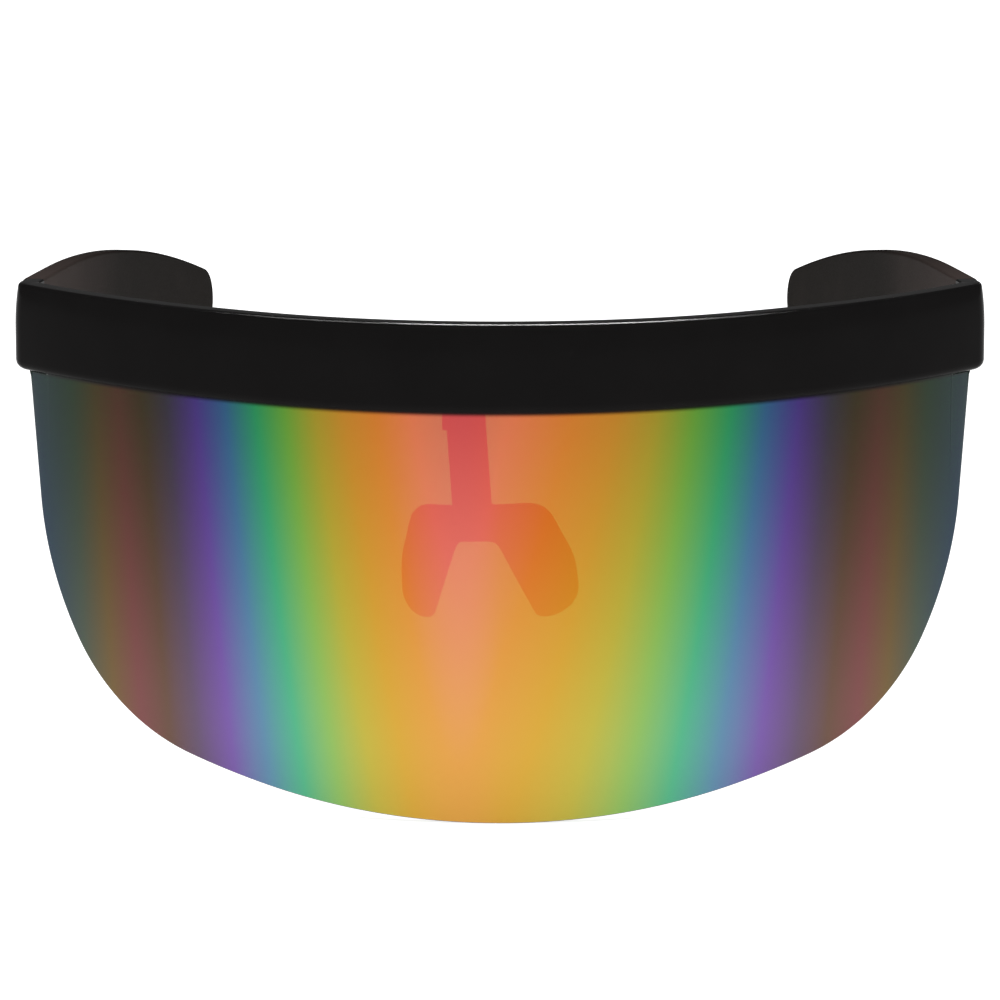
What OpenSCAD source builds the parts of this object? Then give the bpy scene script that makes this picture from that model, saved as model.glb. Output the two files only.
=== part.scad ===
// Shield sunglasses: a wrapped brow bar that carries one large lens, a nosepiece and two folding arms.
// X runs to the wearer's left, Y runs from the lens to the back of the head, Z is up.
// The origin lies under the middle of the part, level with the lowest edge of the lens.

/* [Brow bar] */
// Height of the brow bar
bar_h = 14; // [12:0.5:17]
// Thickness of the brow bar from front to back
bar_t = 4; // [3.8:0.1:4.6]
// Outer radius of the middle of the bar, seen from above
mid_r = 70; // [66:1:76]
// Half angle that the middle curve takes up
mid_angle = 32.3; // [31:0.1:33.5]
// Outer radius of the flatter curve on each side
side_r = 144.6; // [135:0.2:155]
// Angle from straight ahead at which the side curve ends
side_angle = 54; // [51:0.5:56]
// Outer radius of the corner that turns back to the arm
corner_r = 6.3; // [5.5:0.1:8]
// Angle from straight ahead at which the corner ends
corner_angle = 98; // [94:1:100]
// Length of the straight lug behind the corner
lug_len = 3.1; // [2.8:0.1:5]
// How far the top front edge leans back from the widest line
bar_crown = 0.6; // [0.2:0.1:1]
// Bevel on the long edges of the bar
bar_edge = 0.35; // [0.2:0.05:0.6]

/* [Lens] */
// Drop of the lens below the bar at its lowest point
lens_drop = 64.3; // [58:0.1:72]
// Thickness of the lens
lens_t = 1.9; // [1.6:0.1:2]
// Wall of the bar left in front of the lens
lens_wall = 2; // [1.8:0.1:2.4]
// Height of the lens that is hidden behind the bar
lens_tuck = 8; // [7:0.5:9]
// Angle past the side curve that the lens edge reaches, in degrees
lens_wrap = 0.4; // [0.2:0.1:0.6]
// Distance from the corner of the bar at which the hidden part of the lens stops
tuck_short = 1.6; // [1.4:0.1:4]
// Half angle that the long bottom curve takes up
lens_bottom_angle = 15.9; // [15:0.1:17]
// Radius of the big round corner
lens_corner_r = 31.3; // [28:0.1:34]
// Angle at which the round corner ends
lens_corner_angle = 61.7; // [58:0.1:65]
// Radius of the curve that runs up into the side
lens_side_r = 55; // [48:1:62]
// Slope of the straight side edge
lens_side_angle = 85.4; // [84:0.1:88]
// Angles from straight ahead at which the two inner lens screws sit
inner_screw_angle = 18; // [16:1:26]
// Angles from straight ahead at which the two outer lens screws sit
outer_screw_angle = 46; // [42:1:49]
// Height of the lens screws above the bottom of the bar
lens_screw_h = 4.5; // [3.5:0.1:5.5]

/* [Nosepiece] */
// Offset of the nosepiece from the middle, towards the wearer's right
nose_shift = 5.7; // [0:0.1:7]
// Lean of the nosepiece about its screw, in degrees
nose_lean = 4.1; // [0:0.1:6]
// Turn of the wings about the stem, in degrees
nose_twist = 19.5; // [0:0.5:21]
// Width of the tab of the bar that holds the nosepiece
tab_w = 6.4; // [5.6:0.1:8]
// Thickness of the tab
tab_t = 2.2; // [1.8:0.1:3]
// Drop of the tab below the bar
tab_drop = 3.1; // [2.5:0.1:5]
// Width of the stem
stem_w = 6.1; // [5:0.1:8]
// Thickness of the stem
stem_t = 2; // [1.6:0.1:2.6]
// Height of the nosepiece screw above the bottom of the bar
nose_screw_h = 4; // [3:0.1:5]
// Distance from the nosepiece screw down to the shoulders of the wings
stem_drop = 19.3; // [16:0.1:24]
// Radius of the saddle that the wings are bent to
saddle_r = 26; // [22:0.5:30]
// Thickness of the wings
wing_t = 1.8; // [1.4:0.1:2.2]
// Height of the wings
wing_h = 17.9; // [15:0.1:22]
// Half width across the shoulders, along X
shoulder_w = 10.7; // [10:0.1:11.5]
// Half width half way down the wings, before it is rounded
wing_mid_w = 14.2; // [13.6:0.1:15]
// Half width across the foot of the wings, before it is rounded
foot_w = 14.7; // [14:0.1:15.6]
// Half width of the arch at the top
arch_top_w = 3.3; // [2.4:0.1:4]
// Half width of the arch at the foot
arch_foot_w = 8.7; // [7.4:0.1:9]
// Height of the solid part above the arch
arch_top = 5.7; // [5:0.1:8]

/* [Arms] */
// Reach of an arm behind the lug, along its own first direction
arm_len = 114.4; // [95:0.2:125]
// Radius of the inward bow of an arm, seen from above
bow_r = 990; // [700:10:1500]
// Thickness of an arm at the hinge
arm_root_t = 3.5; // [3.3:0.1:4]
// Thickness of an arm at its tip
arm_tip_t = 2.8; // [2.2:0.1:3.4]
// How far the outside of an arm lies inside the outside of the lug
arm_inset = 0.4; // [0.2:0.1:0.6]
// Length of the straight part of an arm before it droops
droop_start = 18; // [16:0.5:36]
// Radius of the droop, along the top edge
droop_r = 365; // [300:5:500]
// Radius of the round corners at the tip
tip_r = 6; // [4:0.5:6.4]

/* [Hinges] */
// Radius of the hinge knuckles
knuckle_r = 1.6; // [1.5:0.1:2]
// Height of one knuckle
knuckle_h = 2.3; // [2:0.1:2.6]
// Radius of the hinge screw's shank
pin_r = 0.65; // [0.5:0.05:0.8]
// Distance from the inner face of the lug to the hinge axis
pin_out = 0.9; // [0.7:0.1:1.3]
// How far the hinge sits below the middle of the bar
hinge_lower = 0.8; // [0:0.1:1]
// Thickness of the hinge leaves
leaf_t = 1.1; // [0.9:0.1:1.3]
// Reach of the lug leaf ahead of the hinge axis
lug_leaf_len = 5; // [4.6:0.1:5.6]
// Reach of the arm leaf behind the hinge axis
arm_leaf_len = 10.6; // [9:0.1:14]
// Gap between the lug and the arm
seam_gap = 0.2; // [0.1:0.05:0.4]

/* [Screws] */
// Shank radius of the lens and nosepiece screws
screw_r = 0.8; // [0.7:0.05:1]
// Head radius of the lens and nosepiece screws
screw_head_r = 1.6; // [1.4:0.1:1.9]
// Head height of the lens and nosepiece screws
screw_head_h = 0.9; // [0.7:0.1:1.1]
// Depth that the lens and nosepiece screws bite into the bar
screw_bite = 1.4; // [1.1:0.1:1.5]
// Shank radius of the leaf screws
leaf_screw_r = 0.5; // [0.4:0.05:0.6]
// Head radius of the leaf screws
leaf_head_r = 0.95; // [0.8:0.05:1]
// Head height of the leaf screws
leaf_head_h = 0.45; // [0.35:0.05:0.6]
// Depth that the leaf screws bite into the plastic
leaf_bite = 1.8; // [1.4:0.1:2]
// Head radius of the hinge screws
pin_head_r = 1.3; // [1.1:0.1:1.5]
// Head height of the hinge screws
pin_head_h = 0.7; // [0.5:0.1:0.8]

/* [Fits] */
// Running clearance of a pin in its knuckles
run_fit = 0.05; // [0.02:0.01:0.08]
// Gap between a thread and the plastic it is cut into
thread_fit = 0.02; // [0.01:0.01:0.05]
// Clearance of a screw in the piece that it passes through
pass_fit = 0.15; // [0.1:0.05:0.25]
// Gap between pieces that lie face to face
face_fit = 0.05; // [0.03:0.01:0.08]
// Gap between the lens and the tab of the bar
tab_fit = 0.3; // [0.2:0.05:0.5]
// Free space round what swings
swing_fit = 0.3; // [0.25:0.05:0.4]
// Gap between two knuckles of a hinge
knuckle_fit = 0.1; // [0.06:0.02:0.2]

/* [Hidden] */

round_fn = 96; // sides on small rounds
wide_fn = 240; // sides on the long curves
arc_step = 4; // degrees between points on an outline's arc
mid_steps = 12; // flats along half of the middle curve
side_steps = 12; // flats along a side curve
corner_steps = 8; // flats round a corner
bow_steps = 12; // flats along the bow of an arm
droop_steps = 10; // flats along the droop of an arm
tip_steps = 6; // flats round a corner of an arm's tip
over = 0.6; // overrun of a cut

bar_black = "#141414";
arm_black = "#2b2725";
lens_gold = "#d9a441";
steel = "#b8babd";

// Heights, from the lowest edge of the lens
bar_bottom_z = lens_drop;
bar_top_z = bar_bottom_z + bar_h;
lens_top_z = bar_bottom_z + lens_tuck;
lens_screw_z = bar_bottom_z + lens_screw_h;
nose_screw_z = bar_bottom_z + nose_screw_h;

// Directions and places in the view from above, where an angle is measured from straight ahead
function ahead(a) = [sin(a), -cos(a)];
mid_c = [0, mid_r];
side_c = mid_c + (mid_r - side_r) * ahead(mid_angle);
corner_c = side_c + (side_r - corner_r) * ahead(side_angle);
lug_turn = corner_angle - 90;
lug_end = corner_c + corner_r * ahead(corner_angle) + lug_len * [cos(corner_angle), sin(corner_angle)];

// Depth of the whole part, out to the tip of an arm
tip_bow = arm_inset + bow_r - sqrt(bow_r * bow_r - arm_len * arm_len);
depth = lug_end[1] + arm_len * cos(lug_turn) - tip_bow * sin(lug_turn);

// The lens lies behind the wall of the bar, and its outline meets the bar at a set half width
lens_out_d = lens_wall + face_fit;
lens_in_d = lens_out_d + lens_t;
lens_half_w = side_c[0] + (side_r - lens_out_d) * sin(side_angle + lens_wrap);
lens_end_angle = side_angle + 4 * lens_wrap;
tuck_angle = side_angle - tuck_short / side_r * 180 / PI;
tuck_half_w = side_c[0] + (side_r - lens_in_d) * sin(tuck_angle);
rebate_angle = side_angle - (tuck_short - tab_fit) / side_r * 180 / PI;
rise_corner = lens_corner_r * (cos(lens_bottom_angle) - cos(lens_corner_angle));
run_corner = lens_corner_r * (sin(lens_corner_angle) - sin(lens_bottom_angle));
rise_side = lens_side_r * (cos(lens_corner_angle) - cos(lens_side_angle));
run_side = lens_side_r * (sin(lens_side_angle) - sin(lens_corner_angle));
free_run = lens_half_w - run_corner - run_side;
free_rise = lens_drop - rise_corner - rise_side;
lens_bottom_r = (free_run * sin(lens_side_angle) - free_rise * cos(lens_side_angle))
  / (sin(lens_bottom_angle) * sin(lens_side_angle)
    - (1 - cos(lens_bottom_angle)) * cos(lens_side_angle));

// The tab stands clear of the lens at its outer edge, and the stem lies behind the tab
tab_far_x = nose_shift + tab_w / 2;
tab_front_y = mid_r - sqrt(pow(mid_r - lens_in_d, 2) - tab_far_x * tab_far_x) + tab_fit;
stem_front_y = tab_front_y + tab_t + face_fit;
stem_over = 3.2; // stem above the nosepiece screw
shoulder_round = 4;
side_round = 12;
foot_round = 4.3;
heel_round = 1.3;
arch_round = 1.8;

// Hinge places, in the frame of the lug's end
hinge_z = (bar_bottom_z + bar_top_z) / 2 - hinge_lower;
hinge_h = 3 * knuckle_h + 2 * knuckle_fit;
pin_x = -bar_t - pin_out;
pin_y = seam_gap / 2;
leaf_face_x = -bar_t;
leaf_back_x = leaf_face_x + leaf_t;
leaf_clear = knuckle_r + swing_fit;
lug_screw_y = pin_y - (leaf_clear + lug_leaf_len) / 2;
lug_screw_rise = hinge_h / 2 - leaf_head_r - face_fit;
arm_screw_near = pin_y + leaf_clear + leaf_head_r + swing_fit;
arm_screw_far = pin_y + arm_leaf_len - leaf_head_r - swing_fit;
slot_w = 0.35; // width of the screwdriver slots
slot_share = 0.5; // depth of a slot, as a share of its head

// A polygon whose corners are rounded, each by its own radius
function unit(v) = v / norm(v);
function round_corner(p, a, b, r) =
  let(
    u = unit(a - p),
    v = unit(b - p),
    half = acos(u * v) / 2,
    c = p + unit(u + v) * r / sin(half),
    s = p + u * r / tan(half) - c,
    e = p + v * r / tan(half) - c,
    a0 = atan2(s[1], s[0]),
    turn = atan2(s[0] * e[1] - s[1] * e[0], s * e),
    n = ceil(abs(turn) / (3 * arc_step))
  )
  [for (i = [0:n]) c + r * [cos(a0 + turn * i / n), sin(a0 + turn * i / n)]];
function rounded(points, radii) = [
  for (i = [0:len(points) - 1])
    each radii[i] == 0 ? [points[i]] : round_corner(
      points[i], points[(i + len(points) - 1) % len(points)], points[(i + 1) % len(points)], radii[i])
];
function mirrored(points) = [for (i = [len(points) - 1:-1:0]) [-points[i][0], points[i][1]]];

// Puts a thing from the plan, whose front is at zero, into the part's own frame
module in_frame() {
  translate([0, -depth / 2, 0]) children();
}

module both_sides() {
  children();
  mirror([1, 0, 0]) children();
}

module left_or_right(side) {
  if (side == "left") children();
  else mirror([1, 0, 0]) children();
}

// Stations along half of the plan: each is a point of the outer face and the way straight in from it
function arc_station(c, r, a) = [c + r * ahead(a), -ahead(a)];
function mid_stations() = [for (i = [0:mid_steps]) arc_station(mid_c, mid_r, mid_angle * i / mid_steps)];
function side_stations(end) = concat(
  [for (i = [1:side_steps - 1]) let(a = mid_angle + (side_angle - mid_angle) * i / side_steps)
    if (a < end) arc_station(side_c, side_r, a)],
  [arc_station(side_c, side_r, end)]
);
function corner_stations() = concat(
  [for (i = [1:corner_steps])
    arc_station(corner_c, corner_r, side_angle + (corner_angle - side_angle) * i / corner_steps)],
  [[lug_end, -ahead(corner_angle)]]
);
function both_ways(half) = concat(
  [for (i = [len(half) - 1:-1:1]) let(s = half[i]) [[-s[0][0], s[0][1]], [-s[1][0], s[1][1]]]],
  half
);

// A band of the plan from one depth behind the outer face to another
module plan_band(stations, d0, d1) {
  last = len(stations) - 1;
  polygon(concat(
    [for (s = stations) s[0] + d0 * s[1]],
    [for (i = [last:-1:0]) stations[i][0] + d1 * stations[i][1]]
  ));
}

// A profile of depths and heights, carried along the stations as one closed solid
module plan_sweep(stations, profile) {
  n = len(stations);
  k = len(profile);
  polyhedron(
    points = [for (s = stations) for (p = profile) let(q = s[0] + p[0] * s[1]) [q[0], q[1], p[1]]],
    faces = concat(
      [[for (j = [k - 1:-1:0]) j]],
      [[for (j = [0:k - 1]) (n - 1) * k + j]],
      [for (i = [0:n - 2]) for (j = [0:k - 1])
        [i * k + j, i * k + (j + 1) % k, (i + 1) * k + (j + 1) % k, (i + 1) * k + j]]
    )
  );
}

// The child at the end of the lug, where Y runs on into the arm and X points out of the side
module at_lug_end(z) {
  translate([lug_end[0], lug_end[1], z]) rotate([0, 0, lug_turn]) children();
}

// The child at an angle of the plan, on the outer face, with its Z pointing straight in
module at_plan_angle(a, z) {
  c = a <= mid_angle ? mid_c : side_c;
  r = a <= mid_angle ? mid_r : side_r;
  translate([c[0] + r * sin(a), c[1] - r * cos(a), z]) rotate([0, 0, a]) rotate([-90, 0, 0]) children();
}

module slotted_head(r, h) {
  difference() {
    cylinder(r = r, h = h, $fn = round_fn);
    translate([-r - over, -slot_w / 2, h * (1 - slot_share)]) cube([2 * (r + over), slot_w, h]);
  }
}

// A screw whose head stands on the plane of zero and whose shank runs down from it
module screw(shank_r, shank_len, head_r, head_h) {
  slotted_head(head_r, head_h);
  translate([0, 0, -shank_len])
    cylinder(r = shank_r, h = shank_len + head_h * (1 - slot_share) / 2, $fn = round_fn);
}

// Brow bar
bar_profile = [
  [bar_crown, bar_top_z - bar_edge],
  [bar_crown + bar_edge, bar_top_z],
  [bar_t - bar_edge, bar_top_z],
  [bar_t, bar_top_z - bar_edge],
  [bar_t, bar_bottom_z],
  [bar_edge, bar_bottom_z],
  [0, bar_bottom_z + bar_edge],
  [0, (bar_bottom_z + bar_top_z) / 2]
];

module lens_rebate() {
  translate([0, 0, bar_bottom_z - over]) linear_extrude(lens_tuck + face_fit + over)
    plan_band(both_ways(concat(mid_stations(), side_stations(rebate_angle))), lens_wall, bar_t + over);
}

// A strip that hangs behind the lens, and the root that joins it to the bar above the lens
module bar_tab() {
  tab_bottom_z = bar_bottom_z - tab_drop;
  tab_top_z = bar_top_z - bar_edge - bar_crown;
  root_z = lens_top_z + face_fit;
  root_front_y = bar_t / 2;
  translate([-nose_shift - tab_w / 2, 0, 0]) {
    translate([0, tab_front_y, tab_bottom_z]) cube([tab_w, tab_t, tab_top_z - tab_bottom_z]);
    translate([0, root_front_y, root_z])
      cube([tab_w, tab_front_y + tab_t - root_front_y, tab_top_z - root_z]);
  }
}

// The room that a hinge leaf and the head of the hinge screw need in the plastic
module hinge_pocket(y0, y1) {
  pocket_d = leaf_t + face_fit + pin_out + knuckle_r;
  translate([leaf_back_x + face_fit - pocket_d, y0, hinge_z - hinge_h / 2 - knuckle_fit])
    cube([pocket_d, y1 - y0, hinge_h + 2 * knuckle_fit]);
  translate([pin_x, pin_y, hinge_z])
    cylinder(r = pin_head_r + swing_fit, h = hinge_h / 2 + pin_head_h + swing_fit, $fn = round_fn);
}

module brow_bar() {
  color(bar_black) in_frame() difference() {
    union() {
      plan_sweep(
        both_ways(concat(mid_stations(), side_stations(side_angle), corner_stations())), bar_profile);
      bar_tab();
    }
    lens_rebate();
    both_sides() {
      for (a = [inner_screw_angle, outer_screw_angle])
        at_plan_angle(a, lens_screw_z) translate([0, 0, lens_wall - screw_bite])
          cylinder(r = screw_r + thread_fit, h = screw_bite + over, $fn = round_fn);
      at_lug_end(0) {
        hinge_pocket(pin_y - lug_leaf_len - face_fit, over);
        for (s = [-1, 1])
          translate([leaf_back_x - over, lug_screw_y, hinge_z + s * lug_screw_rise]) rotate([0, 90, 0])
            cylinder(r = leaf_screw_r + thread_fit, h = over + leaf_bite + thread_fit, $fn = round_fn);
      }
    }
    translate([-nose_shift, tab_front_y + tab_t + over, nose_screw_z]) rotate([90, 0, 0])
      cylinder(r = screw_r + thread_fit, h = over + screw_bite + thread_fit, $fn = round_fn);
  }
}

// Lens
function lens_half() =
  let(
    c0 = [0, lens_bottom_r],
    c1 = c0 + (lens_bottom_r - lens_corner_r) * ahead(lens_bottom_angle),
    c2 = c1 + (lens_corner_r - lens_side_r) * ahead(lens_corner_angle),
    n0 = ceil(lens_bottom_angle / arc_step),
    n1 = ceil((lens_corner_angle - lens_bottom_angle) / arc_step),
    n2 = ceil((lens_side_angle - lens_corner_angle) / arc_step)
  )
  concat(
    [for (i = [1:n0]) c0 + lens_bottom_r * ahead(lens_bottom_angle * i / n0)],
    [for (i = [1:n1]) c1 + lens_corner_r * ahead(
      lens_bottom_angle + (lens_corner_angle - lens_bottom_angle) * i / n1)],
    [for (i = [1:n2]) c2 + lens_side_r * ahead(
      lens_corner_angle + (lens_side_angle - lens_corner_angle) * i / n2)],
    [
      [lens_half_w, bar_bottom_z - face_fit],
      [tuck_half_w, bar_bottom_z - face_fit],
      [tuck_half_w, lens_top_z]
    ]
  );

module shield_lens() {
  color(lens_gold) in_frame() difference() {
    intersection() {
      translate([0, 0, -over]) linear_extrude(lens_top_z + 2 * over) plan_band(
        both_ways(concat(mid_stations(), side_stations(lens_end_angle))), lens_out_d, lens_in_d);
      translate([0, lug_end[1], 0]) rotate([90, 0, 0]) linear_extrude(lug_end[1] + bar_t)
        polygon(concat([[0, 0]], lens_half(), mirrored(lens_half())));
    }
    both_sides() for (a = [inner_screw_angle, outer_screw_angle])
      at_plan_angle(a, lens_screw_z) translate([0, 0, lens_out_d - over])
        cylinder(r = screw_r + pass_fit, h = lens_t + 2 * over, $fn = round_fn);
  }
}

module lens_screws() {
  shank_len = face_fit + lens_in_d - lens_wall + screw_bite - thread_fit;
  color(steel) in_frame() both_sides() for (a = [inner_screw_angle, outer_screw_angle])
    at_plan_angle(a, lens_screw_z) translate([0, 0, lens_in_d + face_fit])
      screw(screw_r, shank_len, screw_head_r, screw_head_h);
}

// Nosepiece
module nose_frame() {
  translate([-nose_shift, stem_front_y, nose_screw_z]) rotate([0, -nose_lean, 0]) children();
}

function wing_outline() = rounded(
  concat(
    [[shoulder_w, 0], [wing_mid_w, -wing_h / 2], [foot_w, -wing_h], [arch_foot_w, -wing_h]],
    [[arch_top_w, -arch_top], [-arch_top_w, -arch_top]],
    [[-arch_foot_w, -wing_h], [-foot_w, -wing_h], [-wing_mid_w, -wing_h / 2], [-shoulder_w, 0]]
  ),
  [
    shoulder_round, side_round, foot_round, heel_round, arch_round,
    arch_round, heel_round, foot_round, side_round, shoulder_round
  ]
);

module nose_saddle() {
  translate([0, saddle_r, -stem_drop]) intersection() {
    translate([0, 0, -wing_h - over]) difference() {
      cylinder(r = saddle_r, h = wing_h + 2 * over, $fn = wide_fn);
      translate([0, 0, -over]) cylinder(r = saddle_r - wing_t, h = wing_h + 4 * over, $fn = wide_fn);
    }
    rotate([90, 0, 0]) linear_extrude(saddle_r + over) polygon(wing_outline());
  }
}

module nosepiece() {
  color(bar_black) in_frame() nose_frame() difference() {
    union() {
      translate([-stem_w / 2, 0, -stem_drop - arch_top / 2])
        cube([stem_w, stem_t, stem_drop + arch_top / 2 + stem_over]);
      rotate([0, 0, -nose_twist]) nose_saddle();
    }
    translate([0, -over, 0]) rotate([-90, 0, 0])
      cylinder(r = screw_r + pass_fit, h = stem_t + 2 * over, $fn = round_fn);
  }
}

module nosepiece_screw() {
  color(steel) in_frame() nose_frame() translate([0, stem_t + face_fit, 0]) rotate([-90, 0, 0])
    screw(screw_r, stem_t + 2 * face_fit + screw_bite, screw_head_r, screw_head_h);
}

// Arms
// The outer face of an arm from above, the way in from it, and the thickness, at a distance along it
function bow_point(s) = let(a = s / bow_r * 180 / PI) [-arm_inset - bow_r * (1 - cos(a)), bow_r * sin(a)];
function bow_in(s) = let(a = s / bow_r * 180 / PI) [-cos(a), -sin(a)];
function arm_t_at(s) = arm_root_t + (arm_tip_t - arm_root_t) * s / arm_len;

module arm_plan() {
  run = arm_len + 2 * tip_r;
  along = [for (i = [0:bow_steps]) seam_gap + (run - seam_gap) * i / bow_steps];
  polygon(concat(
    [for (s = along) bow_point(s)],
    [for (i = [bow_steps:-1:0]) bow_point(along[i]) + arm_t_at(along[i]) * bow_in(along[i])]
  ));
}

// Points on an arc round the droop's centre, and on a corner whose own centre lies on such an arc
function droop_point(r, a) = [droop_start + r * sin(a), bar_top_z - droop_r + r * cos(a)];
function droop_arc(r, a0, a1, n) = [for (i = [0:n]) droop_point(r, a0 + (a1 - a0) * i / n)];
function tip_corner(c, a0, a1) = [
  for (i = [0:tip_steps]) let(a = a0 + (a1 - a0) * i / tip_steps) c + tip_r * [sin(a), cos(a)]
];

// An arm from its side, with its length along X: straight, then drooping to a tip cut off square
module arm_side_view() {
  top_c = droop_r - tip_r;
  low_c = droop_r - bar_h + tip_r;
  top_angle = asin((arm_len - tip_r - droop_start) / top_c);
  end_angle = top_angle + asin(tip_r / top_c);
  low_angle = end_angle - asin(tip_r / low_c);
  polygon(concat(
    [[seam_gap, bar_bottom_z], [seam_gap, bar_top_z]],
    droop_arc(droop_r, 0, top_angle * (1 - 1 / droop_steps), droop_steps - 1),
    tip_corner(droop_point(top_c, top_angle), top_angle, end_angle + 90),
    tip_corner(droop_point(low_c, low_angle), end_angle + 90, low_angle + 180),
    droop_arc(droop_r - bar_h, low_angle * (1 - 1 / droop_steps), 0, droop_steps - 1)
  ));
}

module arm_solid() {
  reach_x = 2 * tip_bow + bar_t;
  at_lug_end(0) difference() {
    intersection() {
      linear_extrude(bar_top_z + over) arm_plan();
      translate([-reach_x, 0, 0]) rotate([90, 0, 90]) linear_extrude(reach_x + over) arm_side_view();
    }
    hinge_pocket(-over, pin_y + arm_leaf_len + face_fit);
    for (y = [arm_screw_near, arm_screw_far])
      translate([leaf_back_x - over, y, hinge_z]) rotate([0, 90, 0])
        cylinder(r = leaf_screw_r + thread_fit, h = over + leaf_bite + thread_fit, $fn = round_fn);
  }
}

module arm(side) {
  color(arm_black) in_frame() left_or_right(side) arm_solid();
}

// Hinge leaves: a plate let into the plastic, and knuckles joined to it by necks
module knuckle(z) {
  translate([pin_x, pin_y, z]) cylinder(r = knuckle_r, h = knuckle_h, $fn = round_fn);
}

module knuckle_neck(y0, y1, z) {
  translate([leaf_face_x, y0, z]) cube([leaf_t, y1 - y0, knuckle_h]);
}

module knuckle_bore() {
  translate([pin_x, pin_y, hinge_z - hinge_h / 2 - over])
    cylinder(r = pin_r + run_fit, h = hinge_h + 2 * over, $fn = round_fn);
}

module leaf_plate(y0, y1, h) {
  translate([leaf_face_x, y0, hinge_z - h / 2]) cube([leaf_t, y1 - y0, h]);
}

module leaf_hole(y, z) {
  translate([leaf_face_x - over, y, z]) rotate([0, 90, 0])
    cylinder(r = leaf_screw_r + pass_fit, h = leaf_t + 2 * over, $fn = round_fn);
}

module lug_hinge_leaf(side) {
  low_z = hinge_z - hinge_h / 2;
  top_z = hinge_z + hinge_h / 2 - knuckle_h;
  color(steel) in_frame() left_or_right(side) at_lug_end(0) difference() {
    union() {
      leaf_plate(pin_y - lug_leaf_len, pin_y - leaf_clear, hinge_h);
      for (z = [low_z, top_z]) {
        knuckle_neck(pin_y - leaf_clear - over, pin_y, z);
        knuckle(z);
      }
    }
    knuckle_bore();
    for (s = [-1, 1]) leaf_hole(lug_screw_y, hinge_z + s * lug_screw_rise);
  }
}

module arm_hinge_leaf(side) {
  color(steel) in_frame() left_or_right(side) at_lug_end(0) difference() {
    union() {
      leaf_plate(pin_y + leaf_clear, pin_y + arm_leaf_len, hinge_h);
      knuckle_neck(pin_y, pin_y + leaf_clear + over, hinge_z - knuckle_h / 2);
      knuckle(hinge_z - knuckle_h / 2);
    }
    knuckle_bore();
    for (y = [arm_screw_near, arm_screw_far]) leaf_hole(y, hinge_z);
  }
}

module hinge_screw(side) {
  color(steel) in_frame() left_or_right(side) at_lug_end(hinge_z + hinge_h / 2)
    translate([pin_x, pin_y, 0]) screw(pin_r, hinge_h, pin_head_r, pin_head_h);
}

module leaf_screw(y, z) {
  translate([leaf_face_x, y, z]) rotate([0, -90, 0])
    screw(leaf_screw_r, leaf_t + leaf_bite, leaf_head_r, leaf_head_h);
}

module lug_leaf_screws(side) {
  color(steel) in_frame() left_or_right(side) at_lug_end(0)
    for (s = [-1, 1]) leaf_screw(lug_screw_y, hinge_z + s * lug_screw_rise);
}

module arm_leaf_screws(side) {
  color(steel) in_frame() left_or_right(side) at_lug_end(0)
    for (y = [arm_screw_near, arm_screw_far]) leaf_screw(y, hinge_z);
}

brow_bar();
shield_lens();
lens_screws();
nosepiece();
nosepiece_screw();
arm("left");  // arm_left
arm("right");  // arm_right
lug_hinge_leaf("left");  // lug_hinge_leaf_left
lug_hinge_leaf("right");  // lug_hinge_leaf_right
arm_hinge_leaf("left");  // arm_hinge_leaf_left
arm_hinge_leaf("right");  // arm_hinge_leaf_right
hinge_screw("left");  // hinge_screw_left
hinge_screw("right");  // hinge_screw_right
lug_leaf_screws("left");  // lug_leaf_screws_left
lug_leaf_screws("right");  // lug_leaf_screws_right
arm_leaf_screws("left");  // arm_leaf_screws_left
arm_leaf_screws("right");  // arm_leaf_screws_right
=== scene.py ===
import math

import bmesh
import bpy
from mathutils import Matrix, Vector


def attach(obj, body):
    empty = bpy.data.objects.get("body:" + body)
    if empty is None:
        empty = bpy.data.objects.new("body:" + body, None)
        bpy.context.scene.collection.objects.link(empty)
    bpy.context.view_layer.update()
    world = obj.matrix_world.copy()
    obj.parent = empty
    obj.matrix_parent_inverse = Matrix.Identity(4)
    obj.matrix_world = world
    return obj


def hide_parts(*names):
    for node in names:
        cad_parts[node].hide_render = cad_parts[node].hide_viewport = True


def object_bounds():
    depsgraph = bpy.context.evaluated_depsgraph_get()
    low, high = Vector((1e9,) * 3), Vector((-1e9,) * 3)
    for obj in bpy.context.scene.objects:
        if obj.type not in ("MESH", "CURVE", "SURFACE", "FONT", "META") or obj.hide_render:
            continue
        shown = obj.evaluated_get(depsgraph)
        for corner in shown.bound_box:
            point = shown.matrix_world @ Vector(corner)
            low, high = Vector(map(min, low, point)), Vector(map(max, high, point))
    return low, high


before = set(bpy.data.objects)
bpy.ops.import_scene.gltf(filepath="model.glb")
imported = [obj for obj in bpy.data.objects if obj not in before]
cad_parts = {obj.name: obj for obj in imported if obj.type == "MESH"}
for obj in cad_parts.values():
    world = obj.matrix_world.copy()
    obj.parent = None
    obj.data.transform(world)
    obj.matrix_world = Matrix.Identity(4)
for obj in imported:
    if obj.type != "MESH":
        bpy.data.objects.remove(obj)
cadLow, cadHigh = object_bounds()
scene = bpy.context.scene
scene.view_settings.view_transform = "Standard"
mm = 0.001
frontY = cadLow.y / mm  # the middle of the bar's front face, in millimetres
print("frame loaded,", len(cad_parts), "CAD nodes")

# The camera comes first: a long lens, a little above the top of the bar
camera = {"place": (0, -0.9223, 0.1915), "tilt": 80.5, "focalLength": 199.9, "sensor": 36}

cameraData = bpy.data.cameras.new("camera")
cameraData.lens = camera["focalLength"]
cameraData.sensor_width = camera["sensor"]
cameraData.clip_start = 0.05
cameraObject = bpy.data.objects.new("camera", cameraData)
cameraObject.location = camera["place"]
cameraObject.rotation_euler = (math.radians(camera["tilt"]), 0, 0)
scene.collection.objects.link(cameraObject)
scene.camera = cameraObject
print("camera set")


# Small tools

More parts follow.
